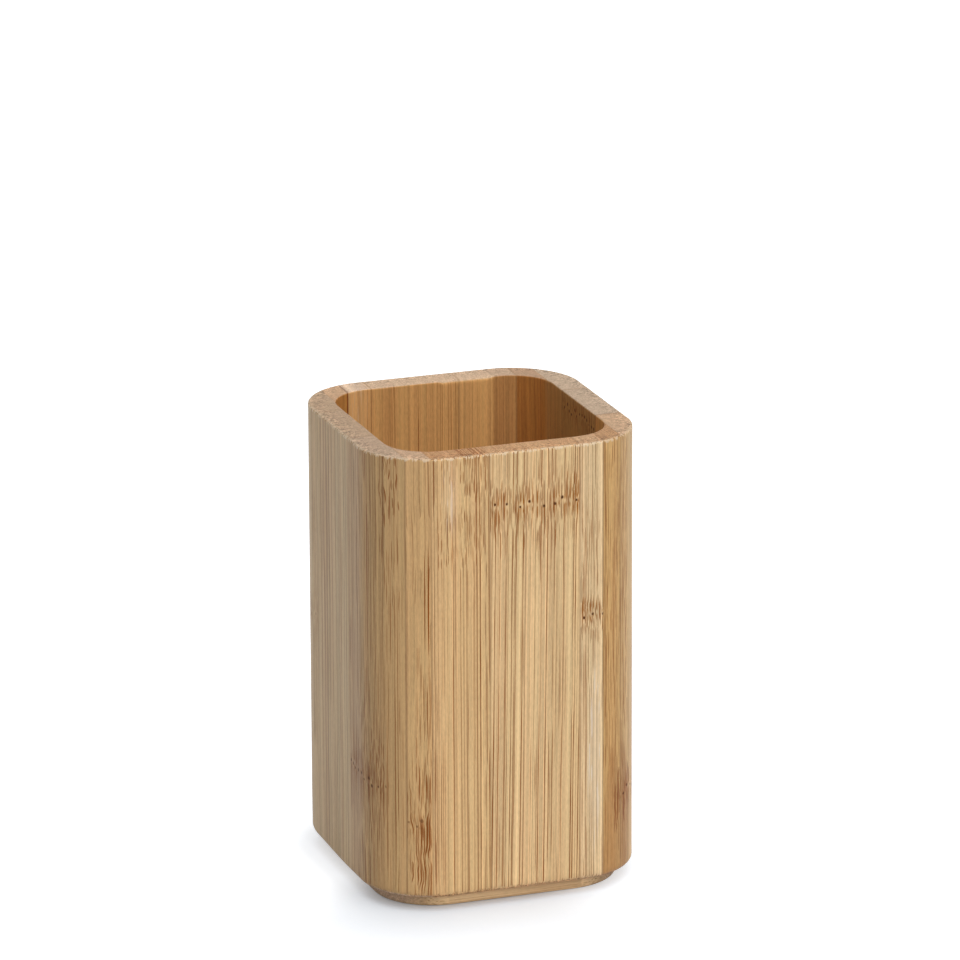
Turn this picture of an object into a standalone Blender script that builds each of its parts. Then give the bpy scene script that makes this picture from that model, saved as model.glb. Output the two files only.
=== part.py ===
"""A square toothbrush tumbler, glued up from bamboo strips and then milled round inside and outside.

Lengths are in metres, +Z is up, -Y is the front, and the origin is the middle of the underside.
The walls are cut as the real ones are. A strip starts as a square-edged blank in the glued-up
block, and what lies inside the milled form of the finished cup is left of it. The side planks
have an inner ply that the milling takes away everywhere but in the four corners. Neighbouring
pieces keep one glue line between them.
"""

from math import cos, pi, radians, sin

import bmesh
import bpy

# Overall size
WIDTH = 0.066
DEPTH = 0.066
HEIGHT = 0.109

# Walls
WALL = 0.0065
CORNER_RADIUS = 0.0169
INNER_CORNER_RADIUS = 0.0104
RIM_EASE = 0.0004
FOOT_EASE = 0.0014

# Base board
BASE_THICKNESS = 0.0033
BASE_INSET = 0.0035
BASE_CORNER_RADIUS = 0.0144
BASE_EDGE_ROUND = 0.001

# The glued-up block
GLUE_LINE = 0.0003
MILLED_OFF_PLANK = 0.0003
CORNER_BLOCK_WIDTH = 0.0053
SAW_ALLOWANCE = 0.002

# Where the strips of a board meet, as shares of its width from the front or left edge
PLANK_SEAM_SHARES = (0.353, 0.686)
BOARD_SEAM_SHARES = (0.333, 0.859)
BASE_SEAM_SHARES = (0.314, 0.686)

# Fineness of the round shapes
CORNER_STEPS = 16
FOOT_STEPS = 5
RIM_STEPS = 3
SHARP_ANGLE = radians(30)

# Bamboo, from the palest strips to the darkest
CREAM = (0.63, 0.44, 0.24)
PALE = (0.61, 0.40, 0.20)
STRAW = (0.57, 0.37, 0.18)
SAND = (0.53, 0.37, 0.21)
TAN = (0.50, 0.31, 0.15)
AMBER = (0.46, 0.28, 0.12)
RUSSET = (0.42, 0.24, 0.10)
SATIN = 0.5

# Sizes that follow from the ones above
LEFT = -WIDTH / 2
FRONT = -DEPTH / 2
FOOT_LEVEL = BASE_THICKNESS + GLUE_LINE
HALF_LINE = GLUE_LINE / 2
PLANK_THICKNESS = WALL + MILLED_OFF_PLANK
BOARD_EDGE = LEFT + PLANK_THICKNESS + CORNER_BLOCK_WIDTH
ARC_END = FRONT + WALL + INNER_CORNER_RADIUS
WALL_LEVELS = (FOOT_LEVEL - SAW_ALLOWANCE, HEIGHT + SAW_ALLOWANCE)
BASE_LEVELS = (-SAW_ALLOWANCE, BASE_THICKNESS + SAW_ALLOWANCE)


def rounded_rectangle(width, depth, radius):
    """Points round a rectangle with arcs for corners, counterclockwise from the front right arc."""
    across = width / 2 - radius
    along = depth / 2 - radius
    centres = [(across, -along), (across, along), (-across, along), (-across, -along)]
    points = []
    for quarter, (x, y) in enumerate(centres):
        for step in range(CORNER_STEPS + 1):
            angle = pi / 2 * (quarter - 1 + step / CORNER_STEPS)
            points.append((x + radius * cos(angle), y + radius * sin(angle)))
    return points


def eased_edge(radius, steps):
    """(inset, drop) pairs of a rounded edge, from the upright face to the level one."""
    angles = [pi / 2 * step / steps for step in range(steps + 1)]
    return [(radius * (1 - cos(angle)), radius * (1 - sin(angle))) for angle in angles]


def loop_at(shape, width, depth, radius, inset, level):
    """New vertices round a rounded rectangle that is drawn in by the inset, at one level."""
    outline = rounded_rectangle(width - 2 * inset, depth - 2 * inset, radius - inset)
    return [shape.verts.new((x, y, level)) for x, y in outline]


def skin(shape, loops):
    """Faces between each loop and the next."""
    for lower, upper in zip(loops, loops[1:]):
        for i, corner in enumerate(lower):
            j = (i + 1) % len(lower)
            shape.faces.new((corner, lower[j], upper[j], upper[i]))


def as_object(name, shape):
    """Stores the shape, with its faces turned outwards, in a new object of that name."""
    bmesh.ops.recalc_face_normals(shape, faces=shape.faces)
    mesh = bpy.data.meshes.new(name)
    shape.to_mesh(mesh)
    shape.free()
    made = bpy.data.objects.new(name, mesh)
    bpy.context.collection.objects.link(made)
    return made


def milled_walls():
    """The finished walls in one ring, eased at the rim on both sides and at the foot outside."""
    shape = bmesh.new()
    foot = reversed(eased_edge(FOOT_EASE, FOOT_STEPS))
    rim = eased_edge(RIM_EASE, RIM_STEPS)
    outside = [(inset, FOOT_LEVEL + drop) for inset, drop in foot]
    outside += [(inset, HEIGHT - drop) for inset, drop in rim]
    inside = [(-inset, HEIGHT - drop) for inset, drop in reversed(rim)]
    inside.append((0, FOOT_LEVEL))
    loops = [
        loop_at(shape, WIDTH, DEPTH, CORNER_RADIUS, inset, level) for inset, level in outside
    ]
    inner_width = WIDTH - 2 * WALL
    inner_depth = DEPTH - 2 * WALL
    loops += [
        loop_at(shape, inner_width, inner_depth, INNER_CORNER_RADIUS, inset, level)
        for inset, level in inside
    ]
    skin(shape, loops + loops[:1])
    return as_object("milled_walls", shape)


def milled_base():
    """The finished base board in one slab, with its lower edge rounded and its upper edge square."""
    shape = bmesh.new()
    edge = reversed(eased_edge(BASE_EDGE_ROUND, FOOT_STEPS))
    profile = [(inset, drop) for inset, drop in edge]
    profile.append((0, BASE_THICKNESS))
    width = WIDTH - 2 * BASE_INSET
    depth = DEPTH - 2 * BASE_INSET
    loops = [
        loop_at(shape, width, depth, BASE_CORNER_RADIUS, inset, level) for inset, level in profile
    ]
    skin(shape, loops)
    shape.faces.new(loops[0])
    shape.faces.new(loops[-1])
    return as_object("milled_base", shape)


def sawn_blank(name, across, along, levels):
    """A square-edged strip: its limits to the left and right, to the front and rear, and in height."""
    shape = bmesh.new()
    bmesh.ops.create_cube(shape, size=1)
    for vertex in shape.verts:
        for axis, limits in enumerate((across, along, levels)):
            vertex.co[axis] = limits[vertex.co[axis] > 0]
    return as_object(name, shape)


def bamboo(name, colour):
    """The satin finish of one strip."""
    material = bpy.data.materials.new(name)
    material.use_nodes = True
    surface = material.node_tree.nodes["Principled BSDF"]
    surface.inputs["Base Color"].default_value = (*colour, 1)
    surface.inputs["Roughness"].default_value = SATIN
    surface.inputs["Metallic"].default_value = 0
    return material


def mill(strip, form, colour):
    """Keeps what lies inside the finished form, and gives the strip its finish."""
    cut = strip.modifiers.new("milling", "BOOLEAN")
    cut.operation = "INTERSECT"
    cut.solver = "EXACT"
    cut.object = form
    graph = bpy.context.evaluated_depsgraph_get()
    milled = bpy.data.meshes.new_from_object(strip.evaluated_get(graph))
    milled.name = strip.name
    strip.modifiers.clear()
    strip.data = milled
    milled.materials.clear()
    milled.materials.append(bamboo(strip.name, colour))
    milled.shade_smooth()
    milled.set_sharp_from_angle(angle=SHARP_ANGLE)


def strips_between(low, high, seam_shares):
    """(low, high) of each strip of a board: half a glue line is kept at every seam."""
    seams = [low + (high - low) * share for share in seam_shares]
    lows = [low] + [seam + HALF_LINE for seam in seams]
    highs = [seam - HALF_LINE for seam in seams] + [high]
    return list(zip(lows, highs))


def turned(limits):
    """The same limits after a half turn."""
    return -limits[1], -limits[0]


def widened(strips):
    """The strips with the first and the last one sawn over size at their outer edge."""
    (low, first_high), *inner, (last_low, high) = strips
    return [(low - SAW_ALLOWANCE, first_high), *inner, (last_low, high + SAW_ALLOWANCE)]


def side_plank(side, walls, colours):
    """The strips of a side plank, front to rear. The right plank is the left one turned round."""
    across = (LEFT - SAW_ALLOWANCE, LEFT + PLANK_THICKNESS - HALF_LINE)
    strips = widened(strips_between(FRONT, -FRONT, PLANK_SEAM_SHARES))
    if side == "right":
        across = turned(across)
        strips = [turned(along) for along in reversed(strips)]
    for place, along, colour in zip(("front", "middle", "rear"), strips, colours):
        strip = sawn_blank(f"{side}_plank_{place}_strip", across, along, WALL_LEVELS)
        mill(strip, walls, colour)


def face_board(face, walls, colours):
    """The strips of the front or rear board, left to right. The rear board is the front one turned round."""
    along = (FRONT - SAW_ALLOWANCE, ARC_END)
    strips = strips_between(BOARD_EDGE + HALF_LINE, -BOARD_EDGE - HALF_LINE, BOARD_SEAM_SHARES)
    if face == "rear":
        along = turned(along)
        strips = [turned(across) for across in reversed(strips)]
    for place, across, colour in zip(("left", "middle", "right"), strips, colours):
        strip = sawn_blank(f"{face}_board_{place}_strip", across, along, WALL_LEVELS)
        mill(strip, walls, colour)


def corner_block(face, side, walls, colour):
    """What the milling leaves, in one corner, of a side plank's inner ply."""
    across = (LEFT + PLANK_THICKNESS + HALF_LINE, BOARD_EDGE - HALF_LINE)
    along = (FRONT - SAW_ALLOWANCE, ARC_END)
    if side == "right":
        across = turned(across)
    if face == "rear":
        along = turned(along)
    block = sawn_blank(f"corner_block_{face}_{side}", across, along, WALL_LEVELS)
    mill(block, walls, colour)


def base_board(slab, colours):
    """The strips of the base board, front to rear, with their grain from side to side."""
    across = (LEFT, -LEFT)
    edge = FRONT + BASE_INSET
    strips = widened(strips_between(edge, -edge, BASE_SEAM_SHARES))
    for place, along, colour in zip(("front", "middle", "rear"), strips, colours):
        strip = sawn_blank(f"base_{place}_strip", across, along, BASE_LEVELS)
        mill(strip, slab, colour)


def main():
    for old in list(bpy.data.objects):
        bpy.data.objects.remove(old)

    walls = milled_walls()
    side_plank("left", walls, (SAND, CREAM, STRAW))
    side_plank("right", walls, (TAN, SAND, STRAW))
    face_board("front", walls, (STRAW, PALE, CREAM))
    face_board("rear", walls, (CREAM, PALE, STRAW))
    corner_block("front", "left", walls, AMBER)
    corner_block("front", "right", walls, TAN)
    corner_block("rear", "left", walls, RUSSET)
    corner_block("rear", "right", walls, AMBER)
    bpy.data.objects.remove(walls)

    slab = milled_base()
    base_board(slab, (SAND, PALE, SAND))
    bpy.data.objects.remove(slab)


main()
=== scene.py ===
"""A square toothbrush tumbler of glued and milled bamboo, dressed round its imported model.

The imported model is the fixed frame. Its strips are cut again here from a finer milled form, close
along their glue lines. Each strip has a bamboo finish that fills its whole solid, so that the fibre
bundles which run as lines along the faces come out as dots in the end grain.
Sizes are in metres, -Y is the front and +Z is up. Marks in the bamboo are placed in millimetres.
"""

from math import cos, radians, sin
from typing import NamedTuple

import bpy
from bpy.props import FloatProperty, FloatVectorProperty, PointerProperty
from mathutils import Matrix, Vector


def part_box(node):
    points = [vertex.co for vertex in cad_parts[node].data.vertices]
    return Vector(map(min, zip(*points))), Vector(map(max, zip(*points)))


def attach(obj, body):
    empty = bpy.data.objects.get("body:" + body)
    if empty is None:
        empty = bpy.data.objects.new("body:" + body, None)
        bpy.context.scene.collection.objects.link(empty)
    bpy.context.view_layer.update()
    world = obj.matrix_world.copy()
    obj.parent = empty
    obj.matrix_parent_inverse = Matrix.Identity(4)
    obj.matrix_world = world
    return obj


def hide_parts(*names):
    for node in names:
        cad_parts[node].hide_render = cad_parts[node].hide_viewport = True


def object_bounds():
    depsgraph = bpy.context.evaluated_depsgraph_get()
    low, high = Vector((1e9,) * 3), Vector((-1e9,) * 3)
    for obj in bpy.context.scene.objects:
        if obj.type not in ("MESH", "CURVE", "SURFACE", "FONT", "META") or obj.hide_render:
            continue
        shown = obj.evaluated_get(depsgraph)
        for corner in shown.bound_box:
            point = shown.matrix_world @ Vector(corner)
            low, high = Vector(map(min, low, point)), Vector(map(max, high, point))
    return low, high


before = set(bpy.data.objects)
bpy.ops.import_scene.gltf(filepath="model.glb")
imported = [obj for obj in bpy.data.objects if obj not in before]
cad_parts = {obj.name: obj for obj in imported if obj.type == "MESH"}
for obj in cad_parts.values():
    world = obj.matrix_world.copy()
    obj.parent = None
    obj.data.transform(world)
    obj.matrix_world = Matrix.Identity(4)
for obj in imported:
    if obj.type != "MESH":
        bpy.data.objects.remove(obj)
CAD_LOW, CAD_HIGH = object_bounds()

bl_info = {
    "name": "Bamboo Tumbler",
    "version": (1, 0, 0),
    "blender": (4, 5, 0),
    "location": "3D View > Sidebar > Tumbler",
    "description": "Builds a square toothbrush tumbler of glued and milled bamboo strips",
    "category": "Object",
}

BODY = "root"
MM = 1000

# Cross-section of the walls: how far from an edge its points lie, in shares of EDGE_REACH
EDGE_REACH = 0.0022
EDGE_SHARES = (0, 0.04, 0.09, 0.15, 0.22, 0.31, 0.43, 0.6, 0.8, 1)
FACE_LEVELS = 10
SOLID_WALL = 0.012
SAW_ALLOWANCE = 0.002
CORNER_POINTS = 40
SHARP_ANGLE = radians(38)
BASE_RIM_EASE = 0.00005

# Where hands and sanding have worn the rear rim and the foot at the rear left
WORN_RIM_X = 0.0088
WORN_RIM_REACH = 0.0075
WORN_FOOT_REACH = 0.04

# Bamboo, in millimetres: the level at which a leaning strip is in place, the reach of a figure along
# the axis that it isn't placed on, the lashes of a joint, and the pale fringe at the rim
LEAN_LEVEL = 67
ANYWHERE = 1000
LASH_SPACING = 0.8
FRINGE_REACH = 0.62
# A colour ramp holds 32 stops, with the two at its ends
MOST_STOPS = 30
TINTS = (
    "line_tint", "blush_tint", "knot_tint", "vein_tint", "pore_tint", "chalk", "end_tint", "inside_tint",
    "glue_tint",
)

# Camera, fitted to the photograph
AZIMUTH = radians(-19.814)
ELEVATION = radians(16.9679)
ROLL = radians(-0.2284)
DISTANCE = 1.770386
TARGET = Vector((0.0025553, 0, 0.0923989))
LENS = 286.44
SENSOR = 36
CLIPPING = (0.1, 20)

FLOOR_SIZE = 6
# The side where the floor's painted shadow lies: in front, a little to the left
PAINTED_SHADOW_SIDE = (-0.35, -0.94, 0)
WHITE = (1, 1, 1, 1)

# Pieces glued side by side: the axis that a row follows, then its pieces from the axis's low end
ROWS = (
    (0, "left_plank_middle_strip", "corner_block_front_left"),
    (0, "corner_block_front_right", "right_plank_middle_strip"),
    (
        0, "left_plank_front_strip", "corner_block_front_left", "front_board_left_strip",
        "front_board_middle_strip", "front_board_right_strip", "corner_block_front_right",
        "right_plank_front_strip",
    ),
    (
        0, "left_plank_rear_strip", "corner_block_rear_left", "rear_board_left_strip",
        "rear_board_middle_strip", "rear_board_right_strip", "corner_block_rear_right",
        "right_plank_rear_strip",
    ),
    (1, "left_plank_front_strip", "left_plank_middle_strip", "left_plank_rear_strip"),
    (1, "right_plank_front_strip", "right_plank_middle_strip", "right_plank_rear_strip"),
    (1, "base_front_strip", "base_middle_strip", "base_rear_strip"),
)


class Line(NamedTuple):
    """A grain line that runs the whole strip: its place, its tone, its soft edge and its flat middle."""

    place: float
    tone: float
    half_width: float = 0.12
    flat: float = 0


class Knot(NamedTuple):
    """A joint of the cane: its height and rise, its reach, its pores' spacing, and where it shows."""

    height: float
    rise: float = 0
    reach: float = 6
    strength: float = 1
    spacing: float = 2.8
    phase: float = 0
    middle: float = 0
    width: float = 100


class Vein(NamedTuple):
    """A dark streak that tapers at both ends: its place across the strip, its start and its end."""

    place: float
    low: float
    high: float
    half_width: float = 0.2
    strength: float = 0.9
    wave: float = 0.15


class Dashes(NamedTuple):
    """A field of short fine streaks: its limits across the strip and in height, and how they lie."""

    first: float
    last: float
    low: float
    high: float
    spacing: float = 0.5
    length: float = 6
    half_width: float = 0.1
    strength: float = 0.7
    wave: float = 0.03


class Patch(NamedTuple):
    """A figure about a place: how far it reaches, its dashes, and how its fibres swell outwards."""

    across: float
    height: float
    width: float
    reach: float
    strength: float = 1
    swell: float = 0


class Cane(NamedTuple):
    """What one strip shows. Lengths are in millimetres."""

    finish: str
    lot: tuple
    across: str = "x"
    skin: tuple = (-26.5, -33)
    skin_axis: str = "y"
    lean: float = 0
    wander: float = 0.1
    plunge: float = 0.3
    cell: float = 0.55
    share: float = 0.7
    depth: float = 0.7
    # Painted sheen: how far the end grain on the rim is made paler and greyer
    bleach: float = 0.25
    lines: tuple = ()
    knots: tuple = ()
    veins: tuple = ()
    dashes: tuple = ()
    dark: tuple = ()
    pale: tuple = ()


CANES = {
    "front_board_left_strip": Cane(
        "straw", (3.1, 0, 11), wander=0.06, plunge=0.25, cell=0.56, share=0.85, depth=1.0, bleach=0,
        lines=(
            Line(-19.5, -0.3), Line(-17.4, -0.25), Line(-16.1, 0.3, 0.25), Line(-15.3, -0.3),
            Line(-14.8, 0.3), Line(-12.65, -0.35), Line(-10.2, -0.5, 0.2), Line(-9.55, -0.4),
            Line(-9.1, 0.35, 0.2),
        ),
        dashes=(
            Dashes(-14.2, -7.4, 99, 111, 0.5, 5, 0.09, 1.0),
            Dashes(-18.6, -13, 102, 108, 0.6, 4, 0.08, 0.7),
            Dashes(-19.5, -8.4, 84, 97, 0.55, 5, 0.08, 0.85),
        ),
        dark=(Patch(-10.8, 106, 4.5, 8, 0.35, 0.7), Patch(-12.5, 92, 6, 8, 0.25, 0.4)),
        pale=(Patch(-16.4, 100, 2.6, 12, 0.5),),
    ),
    "front_board_middle_strip": Cane(
        "pale", (17.7, 0, 53), lean=-0.0145, wander=0.05, plunge=0.15, cell=0.6, share=0.85, depth=1.0,
        bleach=0,
        lines=(
            Line(-5.2, -0.3), Line(-4.7, 0.2, 0.3), Line(-2.7, -0.35), Line(-0.9, -0.4),
            Line(0.1, 0.2, 0.4), Line(1.5, -0.4), Line(3.3, 0.15, 0.7), Line(6.5, 0.3, 0.2),
            Line(8.6, -0.25), Line(14.4, -0.35),
        ),
        knots=(Knot(96.0, 0, 5, 1, 2.75, 0.28),),
        veins=(
            Vein(-6.0, 87, 96, 0.22, 0.8), Vein(-5.1, 89, 95, 0.16, 0.7), Vein(-0.6, 88, 95, 0.15, 0.7),
            Vein(6.0, 88, 96, 0.2, 0.8), Vein(11.3, 95, 104, 0.2, 0.7), Vein(12.3, 97, 103, 0.16, 0.7),
            Vein(13.5, 95, 103, 0.2, 0.7), Vein(-5.6, 96, 101, 0.16, 0.7), Vein(-0.2, 96, 101, 0.15, 0.7),
        ),
        dashes=(
            Dashes(-6.6, 14.8, 86, 94.5, 0.5, 8, 0.08, 0.9, 0.03),
            Dashes(-6.6, 6, 97, 101, 0.6, 4, 0.08, 0.7, 0.03),
            Dashes(6, 14.6, 97.5, 104, 0.45, 6, 0.085, 0.9, 0.04),
        ),
    ),
    "front_board_right_strip": Cane(
        "cream", (29.3, 0, 7), wander=0.08, plunge=0.3, cell=0.56, share=0.8, depth=1.0, bleach=0,
        lines=(Line(15.1, -0.3), Line(15.8, 0.2, 0.3), Line(16.5, -0.15), Line(20.4, 0.3, 0.3)),
        knots=(Knot(68.0, 0, 3.5, 1, 2.6, 0.3),),
        veins=(Vein(15.6, 66, 72, 0.2, 0.8), Vein(17.6, 68, 72, 0.16, 0.7), Vein(19.8, 66, 71, 0.16, 0.7)),
        dashes=(
            Dashes(15.2, 20.6, 71, 96, 0.6, 7, 0.08, 0.6),
            Dashes(15.4, 20.6, 62, 73, 0.45, 4, 0.08, 0.8, 0.08),
        ),
        dark=(Patch(17.5, 86, 3, 16, 0.35),), pale=(Patch(18.6, 34, 2.4, 30, 1),),
    ),
    "corner_block_front_left": Cane(
        "amber", (41.9, 0, 23), skin=(-26.2, -20.9), skin_axis="x", wander=0.25, plunge=0.7, cell=0.5,
        share=0.4, depth=0.8,
        lines=(Line(-23.4, 0.06, 0.5), Line(-22.7, 0.1, 0.3), Line(-21.5, 0.16, 0.05, 1)),
        knots=(Knot(21.2, 0, 4, 0.55, 1.35, -0.04, -25, 2.4),),
        veins=(
            Vein(-21.6, 60, 90, 0.17, 1, 0), Vein(-22.4, 62, 88, 0.12, 0.9, 0),
            Vein(-21.4, 41, 59, 0.12, 0.7, 0.05), Vein(-22.0, 42, 56, 0.12, 0.8, 0.05),
            Vein(-22.7, 46, 58, 0.11, 0.7, 0.05), Vein(-23.3, 51, 61, 0.1, 0.6, 0.05),
            Vein(-23.7, 26.5, 36, 0.13, 0.9, 0.05), Vein(-23.0, 25.5, 35.5, 0.12, 0.8, 0.05),
            Vein(-22.2, 27, 34, 0.16, 1, 0.05), Vein(-21.5, 26, 33.5, 0.14, 0.9, 0.05),
            Vein(-23.3, 13, 24, 0.15, 1, 0.3), Vein(-22.75, 12, 23.5, 0.14, 0.9, 0.3),
            Vein(-22.2, 13, 24.5, 0.19, 1, 0.3), Vein(-21.65, 12, 24, 0.17, 1, 0.3),
            Vein(-21.3, 1, 13, 0.1, 0.8, 0), Vein(-26.2, 16, 34, 0.12, 0.7, 0.3),
            Vein(-26.9, 18, 31, 0.1, 0.6, 0.35), Vein(-25.4, 24, 33, 0.1, 0.6, 0.3),
        ),
        dashes=(
            Dashes(-25.6, -21.1, 0, 27, 0.42, 11, 0.12, 0.95, 0.3),
            Dashes(-24.5, -21.1, 40, 62, 0.6, 9, 0.08, 0.6),
            Dashes(-24.5, -21.1, 26, 40, 0.5, 7, 0.1, 0.7, 0.1),
        ),
        dark=(Patch(-23, 14, 2.2, 12, 0.6),),
    ),
    "corner_block_front_right": Cane(
        "russet", (55.3, 0, 31), skin=(20.9, 26.2), skin_axis="x", wander=0.1, plunge=0.4, cell=0.6,
        share=0.8, depth=1.0, bleach=0.1, lines=(Line(21.3, -0.25), Line(22.2, -0.2), Line(23.8, 0.2)),
        veins=(
            Vein(25.4, 15, 29, 0.3, 0.9), Vein(24.6, 14, 26, 0.16, 0.9), Vein(23.8, -22, 38, 2.6, 0.36, 0),
        ),
        dashes=(
            Dashes(21, 26, 0, 112, 0.5, 12, 0.1, 0.75), Dashes(24, 26, 14, 28, 0.35, 4, 0.11, 0.9, 0.1),
        ),
        dark=(Patch(25.2, 22, 1.6, 7, 0.9), Patch(23.5, 60, 3, 60, 0.3)),
    ),
    "corner_block_rear_left": Cane(
        "russet", (61.1, 5, 3), skin=(26.5, 33), share=0.6, veins=(Vein(-21.1, -60, 170, 0.2, 1.0, 0),),
    ),
    # A dark russet strip; its flat dark line paints extra shade in the rear right inner corner
    "corner_block_rear_right": Cane(
        "russet", (67.3, 9, 43), skin=(26.5, 33), wander=0.2, share=0.5, lines=(Line(21.0, -0.2, 0.1, 5),),
        knots=(Knot(54, 0.1),),
    ),
    "left_plank_front_strip": Cane(
        "tan", (0, 71.5, 19), across="y", skin_axis="x", wander=0.08, plunge=0.4, depth=1.0, bleach=0.28,
        lines=(
            Line(-29.5, 0.28, 0.5, 3.4), Line(-27.4, -0.35), Line(-26.3, -0.25), Line(-25.2, -0.2),
            Line(-23.9, 0.2, 0.4), Line(-22.0, -0.15), Line(-20.5, -0.15, 0.4),
            Line(-17.4, -0.05, 0.4, 4.6), Line(-11.8, -0.12, 0.4),
        ),
        knots=(Knot(33.2, 0.18, 7, 0.8, 1.7, 0.2, -17, 10),),
        veins=(
            Vein(-26.1, 4, 50, 0.1, 0.7, 0.05), Vein(-27, 58, 77, 0.1, 0.6, 0.05),
            Vein(-27.8, 6, 57, 0.1, 0.6, 0.05),
        ),
        dashes=(
            Dashes(-28.8, -24.5, 94, 112, 0.6, 5, 0.1, 1.0, 0.3),
            Dashes(-28.6, -24.6, 72, 98, 0.55, 10, 0.08, 0.8, 0.08),
            Dashes(-26.5, -10, 19, 31, 0.5, 8, 0.09, 0.6, 0.15),
            Dashes(-25, -10, 33, 45, 0.6, 9, 0.08, 0.5, 0.15),
            Dashes(-25.6, -14, 27, 39, 0.5, 4.5, 0.1, 0.9, 0.15),
            Dashes(-33, -14, 4, 106, 1.1, 18, 0.1, 0.5),
        ),
        dark=(
            Patch(-27.0, 102, 1.8, 9, 0.25), Patch(-17.5, 31, 9, 13, 0.3, 0.5), Patch(-21, 33, 4.5, 6, 0.7),
        ),
    ),
    "left_plank_middle_strip": Cane(
        "sand", (0, 83.1, 37), across="y", skin_axis="x", wander=0.05, plunge=0.2, cell=0.7, share=0.7,
        depth=0.8, bleach=0.22,
        lines=(
            Line(-9.2, -0.2, 0.4), Line(-4.2, 0.15, 0.5), Line(-2.6, -0.2, 0.4), Line(4.4, -0.12, 0.4),
            Line(6.2, -0.25, 0.4), Line(7.4, 0.12, 0.4), Line(8.2, -0.2, 0.4),
        ),
        dashes=(Dashes(-10, 12, 0, 112, 0.9, 24, 0.12, 0.35),),
    ),
    "left_plank_rear_strip": Cane(
        "sand", (0, 97.9, 5), across="y", skin_axis="x", cell=0.7, share=0.65, depth=0.7, bleach=0.22,
        knots=(Knot(61, -0.1, 5, 0.4),),
    ),
    "right_plank_front_strip": Cane(
        "honey", (0, 103.3, 29), across="y", skin=(26.5, 33), skin_axis="x", wander=0.12, share=0.75,
        depth=0.9, lines=(Line(-29.1, -0.3), Line(-28.4, 0.2), Line(-26.5, -0.2)),
        knots=(Knot(22.5, 0, 4.5, 0.9, 1.8, 0.4),),
        veins=(
            Vein(-30.2, 15, 28, 0.4, 0.9, 0.3), Vein(-28.6, 14, 26, 0.25, 0.95, 0.2),
            Vein(-27.4, 16, 30, 0.25, 0.9), Vein(-29.5, -22, 38, 3, 0.42, 0),
        ),
        dashes=(
            Dashes(-34, -27.5, 0, 112, 0.55, 9, 0.11, 0.8), Dashes(-27.5, -10, 0, 112, 0.9, 14, 0.1, 0.45),
            Dashes(-31, -26.5, 14, 30, 0.4, 4, 0.12, 0.9, 0.1),
        ),
        dark=(Patch(-30.5, 62, 5, 90, 0.5),),
    ),
    "right_plank_middle_strip": Cane(
        "sand", (0, 113.7, 47), across="y", skin=(26.5, 33), skin_axis="x", wander=0.08, bleach=0.35,
        dashes=(Dashes(-12, 12, 0, 112, 0.8, 18, 0.12, 0.4),), knots=(Knot(105.6, 0, 3.5, 0.9, 1.6, 0.3),),
    ),
    "right_plank_rear_strip": Cane(
        "sand", (0, 127.1, 13), across="y", skin=(26.5, 33), skin_axis="x", share=0.6, bleach=0.35,
        knots=(Knot(88, 0.08, 5),),
    ),
    "rear_board_left_strip": Cane(
        "cream", (131.3, 0, 17), skin=(26.5, 33), wander=0.05, plunge=0.2, depth=1.0, bleach=0.27,
        lines=(
            Line(-19.6, 0.5, 1.6), Line(-17.8, -0.15), Line(-15.7, -0.4), Line(-15.2, 0.3),
            Line(-14.8, -0.25),
        ),
        pale=(Patch(-18.5, 95, 4, 60, 1),),
    ),
    "rear_board_middle_strip": Cane(
        "cream", (139.7, 0, 59), skin=(26.5, 33), wander=0.05, plunge=0.2, depth=1.0, bleach=0.27,
        lines=(
            Line(-13.8, -0.2), Line(-12.6, -0.07, 0.4, 2.6), Line(-9.1, -0.3), Line(-8.3, 0.2),
            Line(-1.1, -0.2), Line(4.3, -0.25), Line(6.1, -0.3),
        ),
    ),
    "rear_board_right_strip": Cane(
        "cream", (151.9, 0, 41), skin=(26.5, 33), plunge=0.2, share=0.6, bleach=0.27,
        # The flat dark line from 15.35 mm paints shade towards the rear right inner corner
        lines=(Line(12.5, -0.15), Line(15.35, -0.18, 0.15, 5.6)), knots=(Knot(42, -0.08, 5),),
    ),
    "base_front_strip": Cane(
        "cream", (0, 163.1, 27), across="y", skin=(-3.3, 0), skin_axis="x",
        # Its lines paint light along the front face and paint shade further back, round the front corners
        lines=(Line(-30, 0.5, 0.1, 1.6), Line(-28.2, -0.1, 0.2, 18)),
    ),
    "base_middle_strip": Cane(
        "pale", (0, 173.3, 39), across="y", skin=(-3.3, 0), skin_axis="x", knots=(Knot(12, 0.1, 5),),
    ),
    "base_rear_strip": Cane("straw", (0, 181.7, 51), across="y", skin=(-3.3, 0), skin_axis="x"),
}


def colour_property(name, default, description):
    return FloatVectorProperty(
        name=name, description=description, default=default, size=3, subtype="COLOR", min=0, max=1
    )


def number_property(name, default, description, **limits):
    return FloatProperty(name=name, description=description, default=default, **limits)


def length_property(name, default, description):
    return number_property(name, default, description, min=0, unit="LENGTH", precision=5)


def size_of(node):
    low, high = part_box(node)
    return high - low


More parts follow.
